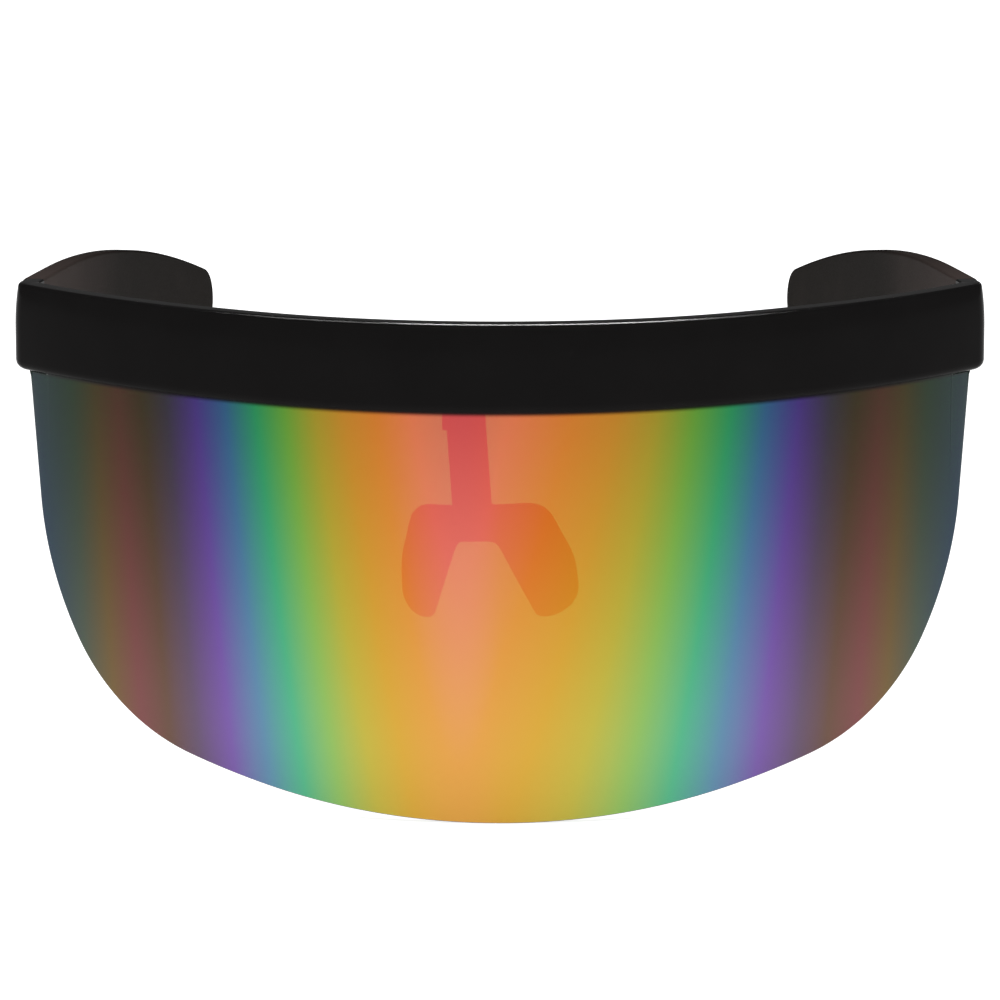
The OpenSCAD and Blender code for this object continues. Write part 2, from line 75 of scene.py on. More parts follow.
def spread(start, end, count):
    # the ends of count even steps, both ends of the whole among them
    return [start + (end - start) * i / count for i in range(count + 1)]


def linearColour(hexText):
    values = [int(hexText[i:i + 2], 16) / 255 for i in (1, 3, 5)]
    return [v / 12.92 if v <= 0.04045 else ((v + 0.055) / 1.055) ** 2.4 for v in values] + [1]


def addNode(tree, kind, inputs=None, **settings):
    # inputs maps a socket's name or number to a value, or to the output that feeds it, where a node
    # stands for its first output
    node = tree.nodes.new(kind)
    for name, value in settings.items():
        setattr(node, name, value)
    for name, value in (inputs or {}).items():
        if isinstance(value, bpy.types.Node):
            value = value.outputs[0]
        if isinstance(value, bpy.types.NodeSocket):
            tree.links.new(value, node.inputs[name])
        else:
            node.inputs[name].default_value = value
    return node


def startMaterial(name):
    # a new material, its tree, and the output that says where on the piece a point lies
    material = bpy.data.materials.new(name)
    material.use_nodes = True
    tree = material.node_tree
    tree.nodes.clear()
    return material, tree, addNode(tree, "ShaderNodeTexCoord").outputs["Object"]


def endMaterial(material, surface):
    addNode(material.node_tree, "ShaderNodeOutputMaterial", {"Surface": surface})
    return material


def makeObject(name, points, faces, edges=()):
    mesh = bpy.data.meshes.new(name)
    mesh.from_pydata(points, list(edges), faces)
    mesh.update()
    thing = bpy.data.objects.new(name, mesh)
    scene.collection.objects.link(thing)
    return thing


def bakeShape(thing):
    # what the modifiers make becomes the object's own mesh
    graph = bpy.context.evaluated_depsgraph_get()
    mesh = bpy.data.meshes.new_from_object(thing.evaluated_get(graph), depsgraph=graph)
    thing.modifiers.clear()
    thing.data = mesh
    return thing


def faceOutwards(thing):
    work = bmesh.new()
    work.from_mesh(thing.data)
    bmesh.ops.remove_doubles(work, verts=work.verts, dist=0.002 * mm)
    bmesh.ops.recalc_face_normals(work, faces=work.faces)
    work.to_mesh(thing.data)
    work.free()
    return thing


def combine(thing, others, operation):
    # the others are cut out of the thing or joined to it, and are gone afterwards
    for other in others:
        step = thing.modifiers.new("combine", "BOOLEAN")
        step.operation = operation
        step.solver = "MANIFOLD"
        step.object = other
    bakeShape(thing)
    for other in others:
        bpy.data.objects.remove(other)


def shadeSoft(thing, angle=35):
    thing.data.shade_smooth()
    thing.data.set_sharp_from_angle(angle=math.radians(angle))
    step = thing.modifiers.new("weightedNormals", "WEIGHTED_NORMAL")
    step.keep_sharp = True


def setPiece(thing, body, materials, nodes):
    thing.data.materials.clear()
    for material in materials:
        thing.data.materials.append(material)
    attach(thing, body)
    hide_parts(*nodes)
    return thing


def nodeTree(name, sizes):
    # an empty Geometry Nodes tree, with the inputs that sizes names besides its geometry
    tree = bpy.data.node_groups.new(name, "GeometryNodeTree")
    for label, kind in {"Geometry": "Geometry", **sizes}.items():
        tree.interface.new_socket(name=label, in_out="INPUT", socket_type="NodeSocket" + kind)
    tree.interface.new_socket(name="Geometry", in_out="OUTPUT", socket_type="NodeSocketGeometry")
    return tree, addNode(tree, "NodeGroupInput").outputs


def endTree(tree, shape, material):
    real = addNode(tree, "GeometryNodeRealizeInstances", {"Geometry": shape})
    dressed = addNode(tree, "GeometryNodeSetMaterial", {"Geometry": real, "Material": material})
    addNode(tree, "NodeGroupOutput", {"Geometry": dressed})


def runTree(thing, tree, values):
    step = thing.modifiers.new("nodes", "NODES")
    step.node_group = tree
    keys = {s.name: s.identifier for s in tree.interface.items_tree if s.in_out == "INPUT"}
    for label, value in values.items():
        step[keys[label]] = value
    return bakeShape(thing)


# The plan: three arcs and a straight lug on each side, in millimetres and degrees, as in the part's source
plan = {
    "midRadius": 70, "midAngle": 32.3,
    "sideRadius": 144.6, "sideAngle": 54,
    "cornerRadius": 6.3, "cornerAngle": 98, "lugLength": 3.1,
    "barBottom": 64.3, "barTop": 78.3,
    "midSteps": 32, "sideSteps": 40, "cornerSteps": 18,
}


def ahead(angle):
    return Vector((math.sin(math.radians(angle)), -math.cos(math.radians(angle))))


midCentre = Vector((0, plan["midRadius"]))
sideCentre = midCentre + (plan["midRadius"] - plan["sideRadius"]) * ahead(plan["midAngle"])
cornerCentre = sideCentre + (plan["sideRadius"] - plan["cornerRadius"]) * ahead(plan["sideAngle"])
lugTurn = math.radians(plan["cornerAngle"] - 90)
lugEnd = (cornerCentre + plan["cornerRadius"] * ahead(plan["cornerAngle"])
          + plan["lugLength"] * Vector((-math.sin(lugTurn), math.cos(lugTurn))))


def toFrame(x, y, z):
    # from millimetres behind the bar's front to metres in the frame
    return Vector((x * mm, (y + frontY) * mm, z * mm))


def onPlan(angle, depth):
    # a point of the plan at an angle from straight ahead, some way in from the outer face
    turn = abs(angle)
    if turn <= plan["midAngle"]:
        point = midCentre + (plan["midRadius"] - depth) * ahead(turn)
    else:
        point = sideCentre + (plan["sideRadius"] - depth) * ahead(turn)
    return Vector((math.copysign(point.x, angle), point.y))


def angleAt(x, depth):
    # the plan angle at which a depth behind the outer face has this distance from the middle
    midReach = (plan["midRadius"] - depth) * math.sin(math.radians(plan["midAngle"]))
    if abs(x) <= midReach:
        turn = math.asin(abs(x) / (plan["midRadius"] - depth))
    else:
        turn = math.asin((abs(x) - sideCentre.x) / (plan["sideRadius"] - depth))
    return math.copysign(math.degrees(turn), x)


def fromLug(side, x, y, z):
    # x points out of the side, y runs into the arm; side is 1 on the wearer's left, -1 on the right
    px = lugEnd.x + x * math.cos(lugTurn) - y * math.sin(lugTurn)
    py = lugEnd.y + x * math.sin(lugTurn) + y * math.cos(lugTurn)
    return toFrame(side * px, py, z)


def planPath(name, end, withLug):
    # the outer face as a line of short edges from the wearer's left to the right
    half = [onPlan(a, 0) for a in spread(0, plan["midAngle"], plan["midSteps"])]
    half += [onPlan(a, 0) for a in spread(plan["midAngle"], end, plan["sideSteps"])[1:]]
    if withLug:
        half += [cornerCentre + plan["cornerRadius"] * ahead(a)
                 for a in spread(plan["sideAngle"], plan["cornerAngle"], plan["cornerSteps"])[1:]]
        half.append(lugEnd)
    line = half[::-1] + [Vector((-p.x, p.y)) for p in half[1:]]
    points = [toFrame(p.x, p.y, 0) for p in line]
    return makeObject(name, points, [], [(i, i + 1) for i in range(len(points) - 1)])


# Materials

noiseLow, noiseHigh = 0.3, 0.7  # nearly all values of a noise texture lie between these


def mouldedGlossNylon():
    # transparent-grade nylon dyed black, moulded in a polished tool: deep black with a tight highlight,
    # and the faint ripple of the moulded skin, which is drawn 2 mm wide, because a finer one doesn't show
    look = {"black": "#181717", "smudge": "#1c1b1b", "ripple": 2, "smear": 9, "roughness": (0.1, 0.15)}
    material, tree, place = startMaterial("mouldedGlossNylon")
    ripple = addNode(tree, "ShaderNodeTexNoise", {
        "Vector": place, "Scale": 1 / (look["ripple"] * mm), "Detail": 2})
    smear = addNode(tree, "ShaderNodeTexNoise", {
        "Vector": place, "Scale": 1 / (look["smear"] * mm), "Detail": 4})
    tone = addNode(tree, "ShaderNodeMix", {
        "Factor": smear, 6: linearColour(look["black"]), 7: linearColour(look["smudge"]),
    }, data_type="RGBA")
    rough = addNode(tree, "ShaderNodeMapRange", {
        "Value": smear, "From Min": noiseLow, "From Max": noiseHigh,
        "To Min": look["roughness"][0], "To Max": look["roughness"][1]})
    bump = addNode(tree, "ShaderNodeBump", {
        "Height": ripple, "Strength": 0.05, "Distance": 0.02 * mm})
    shader = addNode(tree, "ShaderNodeBsdfPrincipled", {
        "Base Color": tone.outputs[2], "Roughness": rough, "Normal": bump,
        "IOR": 1.5, "Specular IOR Level": 0.006,
    })
    return endMaterial(material, shader)


def mouldedMatteNylon():
    # the same nylon from a spark-eroded tool: brown-black, no gloss, a fine even grain, and painted light
    # that makes it paler towards the hinge;
    # real grain is about 0.05 mm and is drawn at 0.25 mm, so that it shows
    look = {"pale": "#4a403d", "dark": "#1a1613", "paleAt": -32, "darkAt": 25, "grain": 0.25,
            "cloud": 14, "mottle": 0.3, "roughness": (0.5, 0.64)}
    material, tree, place = startMaterial("mouldedMatteNylon")
    grain = addNode(tree, "ShaderNodeTexNoise", {
        "Vector": place, "Scale": 1 / (look["grain"] * mm), "Detail": 3, "Roughness": 0.6})
    cloud = addNode(tree, "ShaderNodeTexNoise", {
        "Vector": place, "Scale": 1 / (look["cloud"] * mm), "Detail": 3})
    back = addNode(tree, "ShaderNodeSeparateXYZ", {0: place}).outputs["Y"]
    # painted light: the tone is paler towards the hinge and darker towards the tip, with the nylon's own
    # mottle on top
    along = addNode(tree, "ShaderNodeMapRange", {
        "Value": back, "From Min": look["paleAt"] * mm, "From Max": look["darkAt"] * mm})
    mottle = addNode(tree, "ShaderNodeMath", {
        0: cloud, 1: look["mottle"], 2: -look["mottle"] / 2}, operation="MULTIPLY_ADD")
    paintedLightAndMottle = addNode(tree, "ShaderNodeMath", {0: along, 1: mottle}, operation="ADD", use_clamp=True)
    tone = addNode(tree, "ShaderNodeMix", {
        "Factor": paintedLightAndMottle, 6: linearColour(look["pale"]), 7: linearColour(look["dark"]),
    }, data_type="RGBA")
    rough = addNode(tree, "ShaderNodeMapRange", {
        "Value": grain, "From Min": noiseLow, "From Max": noiseHigh,
        "To Min": look["roughness"][0], "To Max": look["roughness"][1]})
    bump = addNode(tree, "ShaderNodeBump", {
        "Height": grain, "Strength": 0.25, "Distance": 0.03 * mm})
    shader = addNode(tree, "ShaderNodeBsdfPrincipled", {
        "Base Color": tone.outputs[2], "Roughness": rough, "Normal": bump,
        "IOR": 1.5, "Specular IOR Level": 0.01,
    })
    return endMaterial(material, shader)


def blastedToolNylon():
    # the same nylon from a blasted tool: dull black with a slightly lighter bloom on the skin; the real
    # grain is about 0.1 mm and is drawn at 0.3 mm, so that it shows
    look = {"black": "#0d0c0c", "pale": "#191818", "grain": 0.3, "bloom": 5, "roughness": (0.6, 0.75)}
    material, tree, place = startMaterial("blastedToolNylon")
    grain = addNode(tree, "ShaderNodeTexNoise", {
        "Vector": place, "Scale": 1 / (look["grain"] * mm), "Detail": 3, "Roughness": 0.6})
    bloom = addNode(tree, "ShaderNodeTexNoise", {
        "Vector": place, "Scale": 1 / (look["bloom"] * mm), "Detail": 4})
    tone = addNode(tree, "ShaderNodeMix", {
        "Factor": bloom, 6: linearColour(look["black"]), 7: linearColour(look["pale"]),
    }, data_type="RGBA")
    bump = addNode(tree, "ShaderNodeBump", {
        "Height": grain, "Strength": 0.2, "Distance": 0.03 * mm})
    rough = addNode(tree, "ShaderNodeMapRange", {
        "Value": bloom, "From Min": noiseLow, "From Max": noiseHigh,
        "To Min": look["roughness"][0], "To Max": look["roughness"][1]})
    shader = addNode(tree, "ShaderNodeBsdfPrincipled", {
        "Base Color": tone.outputs[2], "Roughness": rough, "Normal": bump,
        "IOR": 1.52, "Specular IOR Level": 0.3,
    })
    return endMaterial(material, shader)


# The coating's bands: how many millimetres from their middle each lies at the top of the lens, and its
# colour at its palest, which it has low on the lens, where the paleness is a painted reflection of the pale
# floor.
# The darker outer bands are partly the coating's colour and partly a painted reflection of a darker room at
# the sides. The colours were fitted to the photographed lens
coatingColours = [
    (0, "#da8385"), (7, "#da8385"), (12, "#e2877a"), (18, "#da8d44"), (23, "#d09534"), (28, "#bba23e"),
    (33, "#8cab5c"), (38, "#52a382"), (43, "#5d7ba0"), (48, "#734e9b"), (53, "#634c68"), (57, "#664842"),
    (61, "#764349"), (65, "#6c5338"), (69, "#4c4f49"), (75, "#24345a"),
]


def mirrorCoating():
    # metal oxide layers laid on by vacuum: a soft mirror whose colour runs from copper in the middle
    # through gold, green and blue to violet and bronze, further along towards the bottom; paler towards the
    # bottom and deeper towards the top is a painted reflection of the pale floor, and the darker outer
    # bands are partly a painted reflection of a darker room; what the layers don't throw back in the middle
    # is green, so that is the light that comes through them
    look = {"drift": 0.21, "stretch": 0.0025, "low": 10, "level": 66, "offset": 7.9, "halfWidth": 76,
            "blend": 7, "gamma": (1.03, 1.9), "curve": 1.5, "shade": (63.5, 64.3), "dark": "#0a0707",
            "cover": (0.84, 0.97), "coverReach": (22, 50), "through": "#70ff80"}
    material, tree, place = startMaterial("mirrorCoating")
    inMm = addNode(tree, "ShaderNodeVectorMath", {0: place, "Scale": 1 / mm}, operation="SCALE")
    parts = addNode(tree, "ShaderNodeSeparateXYZ", {0: inMm}).outputs
    # the bands' middle lies off the lens's, towards the wearer's right
    away = addNode(tree, "ShaderNodeMath", {0: parts["X"]}, operation="ABSOLUTE")
    share = addNode(tree, "ShaderNodeMath", {
        0: away, 1: -1 / look["halfWidth"], 2: 1}, operation="MULTIPLY_ADD")
    cubed = addNode(tree, "ShaderNodeMath", {0: share, 1: 3}, operation="POWER")
    moved = addNode(tree, "ShaderNodeMath", {
        0: cubed, 1: look["offset"], 2: parts["X"]}, operation="MULTIPLY_ADD")
    square = addNode(tree, "ShaderNodeMath", {
        0: moved, 1: moved, 2: look["blend"] ** 2}, operation="MULTIPLY_ADD")
    width = addNode(tree, "ShaderNodeMath", {0: square}, operation="SQRT")
    # the lower down, the further along the colours are, and the wider the bands
    drop = addNode(tree, "ShaderNodeMath", {0: look["level"], 1: parts["Z"]}, operation="SUBTRACT")
    squeeze = addNode(tree, "ShaderNodeMath", {
        0: drop, 1: -look["stretch"], 2: 1}, operation="MULTIPLY_ADD")
    spaced = addNode(tree, "ShaderNodeMath", {0: width, 1: squeeze}, operation="MULTIPLY")
    along = addNode(tree, "ShaderNodeMath", {
        0: drop, 1: look["drift"], 2: spaced}, operation="MULTIPLY_ADD")
    reach = coatingColours[-1][0]
    fraction = addNode(tree, "ShaderNodeMath", {0: along, 1: reach}, operation="DIVIDE")
    ramp = addNode(tree, "ShaderNodeValToRGB", {"Fac": fraction})
    stops = ramp.color_ramp.elements
    for i, (distance, colour) in enumerate(coatingColours):
        stop = stops[i] if i < 2 else stops.new(distance / reach)
        stop.position = distance / reach
        stop.color = linearColour(colour)
    # painted reflection of the pale floor: the colour is palest low on the lens and deepens towards the top
    rise = addNode(tree, "ShaderNodeMapRange", {
        "Value": parts["Z"], "From Min": look["low"], "From Max": look["level"]})
    bent = addNode(tree, "ShaderNodeMath", {0: rise, 1: look["curve"]}, operation="POWER")
    pale = addNode(tree, "ShaderNodeMapRange", {
        "Value": bent, "To Min": look["gamma"][0], "To Max": look["gamma"][1]})
    colour = addNode(tree, "ShaderNodeGamma", {"Color": ramp, "Gamma": pale})
    # painted shade: in the last millimetre under the bar, where no light gets, the colour runs to near
    # black and the coating lets no light through
    shade = addNode(tree, "ShaderNodeMapRange", {
        "Value": parts["Z"], "From Min": look["shade"][0], "From Max": look["shade"][1],
    }, interpolation_type="SMOOTHSTEP")
    shaded = addNode(tree, "ShaderNodeMix", {
        "Factor": shade, 6: colour, 7: linearColour(look["dark"])}, data_type="RGBA")
    cover = addNode(tree, "ShaderNodeMapRange", {
        "Value": width, "From Min": look["coverReach"][0], "From Max": look["coverReach"][1],
        "To Min": look["cover"][0], "To Max": look["cover"][1],
    }, interpolation_type="SMOOTHSTEP")
    solid = addNode(tree, "ShaderNodeMix", {"Factor": shade, 2: cover, 3: 1})
    shader = addNode(tree, "ShaderNodeBsdfPrincipled", {
        "Base Color": shaded.outputs[2], "Roughness": 0.16, "Metallic": 0.9})
    through = addNode(tree, "ShaderNodeBsdfTransparent", {"Color": linearColour(look["through"])})
    layers = addNode(tree, "ShaderNodeMixShader", {0: solid, 1: through, 2: shader})
    return endMaterial(material, layers)


def smokedPolycarbonate():
    # polycarbonate sheet dyed dark grey, moulded clear: a glossy dark glass that lets some light through
    look = {"smoke": "#1d1c1f", "pale": "#28262b", "alpha": 0.62, "haze": 20, "roughness": (0.05, 0.1)}
    material, tree, place = startMaterial("smokedPolycarbonate")
    haze = addNode(tree, "ShaderNodeTexNoise", {
        "Vector": place, "Scale": 1 / (look["haze"] * mm), "Detail": 2})
    tone = addNode(tree, "ShaderNodeMix", {
        "Factor": haze, 6: linearColour(look["smoke"]), 7: linearColour(look["pale"]),
    }, data_type="RGBA")
    rough = addNode(tree, "ShaderNodeMapRange", {
        "Value": haze, "To Min": look["roughness"][0], "To Max": look["roughness"][1]})
    shader = addNode(tree, "ShaderNodeBsdfPrincipled", {
        "Base Color": tone.outputs[2], "Roughness": rough, "IOR": 1.58, "Alpha": look["alpha"]})
    return endMaterial(material, shader)


def brushedSteel():
    # stainless strip, stamped and brushed along its length: pale grey with hair-fine streaks;
    # the streaks are 0.02 mm apart on the real leaf and are drawn 0.12 mm apart
    look = {"dark": "#8f9194", "pale": "#c4c6c8", "streak": 0.12, "squeeze": (1, 0.05, 1),
            "roughness": (0.25, 0.45)}
    material, tree, place = startMaterial("brushedSteel")
    stretched = addNode(tree, "ShaderNodeMapping", {
        "Vector": place, "Scale": [s / (look["streak"] * mm) for s in look["squeeze"]]})
    streak = addNode(tree, "ShaderNodeTexNoise", {"Vector": stretched, "Scale": 1, "Detail": 3})
    tone = addNode(tree, "ShaderNodeMix", {
        "Factor": streak, 6: linearColour(look["dark"]), 7: linearColour(look["pale"]),
    }, data_type="RGBA")
    rough = addNode(tree, "ShaderNodeMapRange", {
        "Value": streak, "To Min": look["roughness"][0], "To Max": look["roughness"][1]})
    bump = addNode(tree, "ShaderNodeBump", {
        "Height": streak, "Strength": 0.2, "Distance": 0.01 * mm})
    shader = addNode(tree, "ShaderNodeBsdfPrincipled", {
        "Base Color": tone.outputs[2], "Roughness": rough, "Normal": bump, "Metallic": 1})
    return endMaterial(material, shader)


def turnedSteel():
    # stainless bar, turned on a lathe: brighter than the leaves, with a faint mottle from the tumbler
    look = {"dark": "#9b9da0", "pale": "#d0d2d4", "mottle": 0.2, "roughness": (0.18, 0.34)}
    material, tree, place = startMaterial("turnedSteel")
    mottle = addNode(tree, "ShaderNodeTexNoise", {
        "Vector": place, "Scale": 1 / (look["mottle"] * mm), "Detail": 4})
    tone = addNode(tree, "ShaderNodeMix", {
        "Factor": mottle, 6: linearColour(look["dark"]), 7: linearColour(look["pale"]),
    }, data_type="RGBA")
    rough = addNode(tree, "ShaderNodeMapRange", {
        "Value": mottle, "To Min": look["roughness"][0], "To Max": look["roughness"][1]})
    shader = addNode(tree, "ShaderNodeBsdfPrincipled", {
        "Base Color": tone.outputs[2], "Roughness": rough, "Metallic": 1})
    return endMaterial(material, shader)


glossNylon = mouldedGlossNylon()
matteNylon = mouldedMatteNylon()
noseNylon = blastedToolNylon()
coating = mirrorCoating()
smoke = smokedPolycarbonate()
leafSteel = brushedSteel()
screwSteel = turnedSteel()
print("materials made")


# Lines of flat points, whose x grows from one to the next

def mirrored(line):
    # the other half of a line that starts in the middle, without the point there
    return [Vector((-p.x, p.y)) for p in line[:0:-1]]


def pointAt(line, x):
    for a, b in zip(line, line[1:]):
        if a.x <= x <= b.x:
            return a.lerp(b, (x - a.x) / (b.x - a.x) if b.x > a.x else 0)
    return line[-1].copy()


def evenPairs(low, high, start, end, count):
    # points of both lines, one above the other, closer together towards the end
    reach = [start + (end - start) * math.sin(t) for t in spread(0, math.pi / 2, count)]
    return [pointAt(low, x) for x in reach], [pointAt(high, x) for x in reach]


# A flat plate with rounded edges, bent as it is placed
def roundedPlate(name, low, high, place, edge, steps=3, squareStart=False):
    # low and high are pairs of points on the plate's two long edges; place turns a flat point, a face
    # (0 outer, 1 inner) and a depth from that face into a point of the frame; a square start stays flat
    last = len(low) - 1
    closedStart = (low[0] - high[0]).length < 1e-6
    closedEnd = (low[last] - high[last]).length < 1e-6
    upper = list(range(last - closedEnd, -1 + closedStart, -1))
    ring = low + [high[i] for i in upper]
    count = len(ring)
    highAt = {i: len(low) + k for k, i in enumerate(upper)}
    highAt.setdefault(0, 0)
    highAt.setdefault(last, last)
    out = []
    for i, point in enumerate(ring):
        before = (point - ring[i - 1]).normalized()
        after = (ring[(i + 1) % count] - point).normalized()
        square = Vector((before.y + after.y, -before.x - after.x)).normalized()
        stretch = max(0.5, square.dot(Vector((after.y, -after.x))))
        out.append(square / stretch)
    if squareStart:
        out[0], out[highAt[0]] = Vector((0, -1)), Vector((0, 1))
    levels = [(0, edge * (1 - math.cos(t)), edge * (1 - math.sin(t)))
              for t in spread(0, math.pi / 2, steps)]
    levels += [(1, -depth, inset) for _, depth, inset in levels[::-1]]
    points = [place(p.x - o.x * inset, p.y - o.y * inset, face, depth)
              for face, depth, inset in levels for p, o in zip(ring, out)]
    top = (len(levels) - 1) * count
    faces = []
    for i in range(last):
        corners = list(dict.fromkeys([i, i + 1, highAt[i + 1], highAt[i]]))
        faces.append(corners)
        faces.append([top + c for c in corners[::-1]])
    for k in range(len(levels) - 1):
        for i in range(count):
            j = (i + 1) % count
            faces.append([k * count + j, k * count + i, (k + 1) * count + i, (k + 1) * count + j])
    return faceOutwards(makeObject(name, points, faces))


def box(name, low, high, place):
    # a plain block for cutting and joining, between two corners, put in the frame by place
    corners = [place(x, y, z)
               for x in (low[0], high[0]) for y in (low[1], high[1]) for z in (low[2], high[2])]
    faces = [(0, 1, 3, 2), (4, 6, 7, 5), (0, 4, 5, 1), (2, 3, 7, 6), (0, 2, 6, 4), (1, 5, 7, 3)]
    return faceOutwards(makeObject(name, corners, faces))


over = 1  # how far a cutter reaches past what it cuts, in millimetres

# Brow bar: one profile carried along the plan
bar = {
    "thickness": 4.0, "crown": 0.6, "bevel": 0.35, "brow": 0.6, "soft": 1.5, "bevelSteps": 4, "cuts": 7,
    "lensWall": 2.0, "rebateTop": 72.35, "rebateAngle": 53.485,
    "tabWidth": 6.4, "tabFront": 4.852, "tabThickness": 2.2, "tabDrop": 3.1, "tabX": -5.7, "tabEdge": 0.3,
    "rootInset": (0.01, 0.4, 0.05),  # at the sides, back and top, so that tab and root share no face
}
hinge = {
    "pinX": -4.9, "pinY": 0.1, "middle": 70.5, "height": 7.1, "leafThickness": 1.1,
    "knuckleRadius": 1.6, "lugReach": 5.0, "armReach": 10.6, "gap": 0.1, "fit": 0.05,
    "headRoom": 1.6, "headTop": 4.55, "ringSteps": 36,
}


def bandTree(cuts, bevelSteps):
    # a rectangle with rounded corners, the low front one softest, and a crowned front, along a line
    tree, given = nodeTree("bandAlongPlan", {
        "Low edge": "Float", "High edge": "Float", "Front depth": "Float", "Back depth": "Float",
        "Crown": "Float", "Bevel": "Float", "Brow": "Float", "Soft": "Float", "Material": "Material",
    })
    downLow = addNode(tree, "ShaderNodeMath", {0: given["Low edge"], 1: -1}, operation="MULTIPLY")
    downHigh = addNode(tree, "ShaderNodeMath", {0: given["High edge"], 1: -1}, operation="MULTIPLY")
    corners = (("Front depth", downLow), ("Front depth", downHigh),
               ("Back depth", downHigh), ("Back depth", downLow))
    shape = addNode(tree, "GeometryNodeCurvePrimitiveQuadrilateral", {
        f"Point {i + 1}": addNode(tree, "ShaderNodeCombineXYZ", {"X": given[depth], "Y": height})
        for i, (depth, height) in enumerate(corners)}, mode="POINTS")
    # the two front corners have radii of their own, and only the front takes points between its corners
    order = addNode(tree, "GeometryNodeInputIndex")
    radius = given["Bevel"]
    for place, wanted in ((0, "Soft"), (1, "Brow")):
        found = addNode(tree, "FunctionNodeCompare", {
            2: order, 3: place}, data_type="INT", operation="EQUAL")
        radius = addNode(tree, "GeometryNodeSwitch", {
            "Switch": found, "False": radius, "True": given[wanted]}, input_type="FLOAT")
    rounded = addNode(tree, "GeometryNodeFilletCurve", {
        "Curve": shape, "Count": bevelSteps, "Radius": radius, "Limit Radius": True}, mode="POLY")
    isFront = addNode(tree, "FunctionNodeCompare", {
        2: order, 3: bevelSteps}, data_type="INT", operation="EQUAL")
    split = addNode(tree, "GeometryNodeSwitch", {
        "Switch": isFront, "False": 0, "True": cuts}, input_type="INT")
    bevelled = addNode(tree, "GeometryNodeSubdivideCurve", {"Curve": rounded, "Cuts": split})
    # the upper half of the front leans back, the more the higher
    here = addNode(tree, "GeometryNodeInputPosition")
    spot = addNode(tree, "ShaderNodeSeparateXYZ", {0: here}).outputs
    middle = addNode(tree, "ShaderNodeMath", {0: downLow, 1: downHigh}, operation="ADD")
    middle = addNode(tree, "ShaderNodeMath", {0: middle, 1: 0.5}, operation="MULTIPLY")
    rise = addNode(tree, "ShaderNodeMapRange", {
        "Value": spot["Y"], "From Min": middle, "From Max": downHigh})
    square = addNode(tree, "ShaderNodeMath", {0: rise, 1: 2}, operation="POWER")
    thick = addNode(tree, "ShaderNodeMapRange", {
        "Value": spot["X"], "From Min": given["Front depth"], "From Max": given["Back depth"],
        "To Min": 1, "To Max": 0})
    lean = addNode(tree, "ShaderNodeMath", {0: square, 1: thick}, operation="MULTIPLY")
    lean = addNode(tree, "ShaderNodeMath", {0: lean, 1: given["Crown"]}, operation="MULTIPLY")
    push = addNode(tree, "ShaderNodeCombineXYZ", {"X": lean})
    profile = addNode(tree, "GeometryNodeSetPosition", {"Geometry": bevelled, "Offset": push})
    line = addNode(tree, "GeometryNodeMeshToCurve", {"Mesh": given["Geometry"]})
    level = addNode(tree, "GeometryNodeSetCurveNormal", {"Curve": line}, mode="Z_UP")
    band = addNode(tree, "GeometryNodeCurveToMesh", {
        "Curve": level, "Profile Curve": profile, "Fill Caps": True})
    endTree(tree, band, given["Material"])
    return tree


def makeBand(name, end, withLug, tree, low, high, front, back, look):
    thing = runTree(planPath(name, end, withLug), tree, {
        "Low edge": low * mm, "High edge": high * mm, "Front depth": front * mm, "Back depth": back * mm,
        "Crown": look["crown"] * mm, "Bevel": look["bevel"] * mm, "Brow": look["brow"] * mm,
        "Soft": look["soft"] * mm, "Material": glossNylon,
    })
    return faceOutwards(thing)


def pocket(side, start, end):
    # the room for a hinge leaf, its knuckles and the head of its screw
    inner = hinge["leafThickness"] + hinge["fit"] - bar["thickness"]
    far = hinge["pinX"] - hinge["knuckleRadius"]
    half = hinge["height"] / 2 + hinge["gap"]
    block = box("pocket", (far, start, hinge["middle"] - half), (inner, end, hinge["middle"] + half),
                lambda x, y, z: fromLug(side, x, y, z))
    ring = [(math.cos(a), math.sin(a)) for a in spread(0, math.tau, hinge["ringSteps"])[:-1]]
    room = hinge["headRoom"]
    points = [fromLug(side, hinge["pinX"] + room * c, hinge["pinY"] + room * s, z)
              for z in (hinge["middle"], hinge["middle"] + hinge["headTop"]) for c, s in ring]
    n = len(ring)
    faces = [list(range(n)), list(range(n, 2 * n))]
    faces += [[i, (i + 1) % n, n + (i + 1) % n, n + i] for i in range(n)]
    return [block, faceOutwards(makeObject("headRoom", points, faces))]


def makeBar():
    sweep = bandTree(bar["cuts"], bar["bevelSteps"])
    plain = bandTree(cuts=1, bevelSteps=1)
    thing = makeBand("browBar", plan["sideAngle"], True, sweep, plan["barBottom"], plan["barTop"],
                     0, bar["thickness"], bar)
    rebate = makeBand("rebate", bar["rebateAngle"], False, plain, plan["barBottom"] - over,
                      bar["rebateTop"], bar["lensWall"], bar["thickness"] + over,
                      {"crown": 0, "bevel": 0, "brow": 0, "soft": 0})
    cutters = [rebate]
    for side in (1, -1):
        cutters += pocket(side, hinge["pinY"] - hinge["lugReach"] - hinge["fit"], over)
    combine(thing, cutters, "DIFFERENCE")
    half = bar["tabWidth"] / 2
    tabBack = bar["tabFront"] + bar["tabThickness"]
    tabTop = plan["barTop"] - bar["bevel"] - bar["crown"]

    def onTab(x, z, face, depth):
        return toFrame(bar["tabX"] + x, bar["tabFront"] + face * bar["tabThickness"] + depth, z)

    tab = roundedPlate("tab", [Vector((x, plan["barBottom"] - bar["tabDrop"])) for x in (-half, half)],
                       [Vector((x, tabTop)) for x in (-half, half)], onTab, bar["tabEdge"])
    atSide, atBack, atTop = bar["rootInset"]
    root = box("root", (atSide - half, bar["thickness"] / 2, bar["rebateTop"]),
               (half - atSide, tabBack - atBack, tabTop - atTop),
               lambda x, y, z: toFrame(bar["tabX"] + x, y, z))
    combine(thing, [tab, root], "UNION")
    shadeSoft(thing)
    return setPiece(thing, "front", [glossNylon], ["brow_bar"])


browBar = makeBar()
print("brow bar made,", len(browBar.data.polygons), "faces")

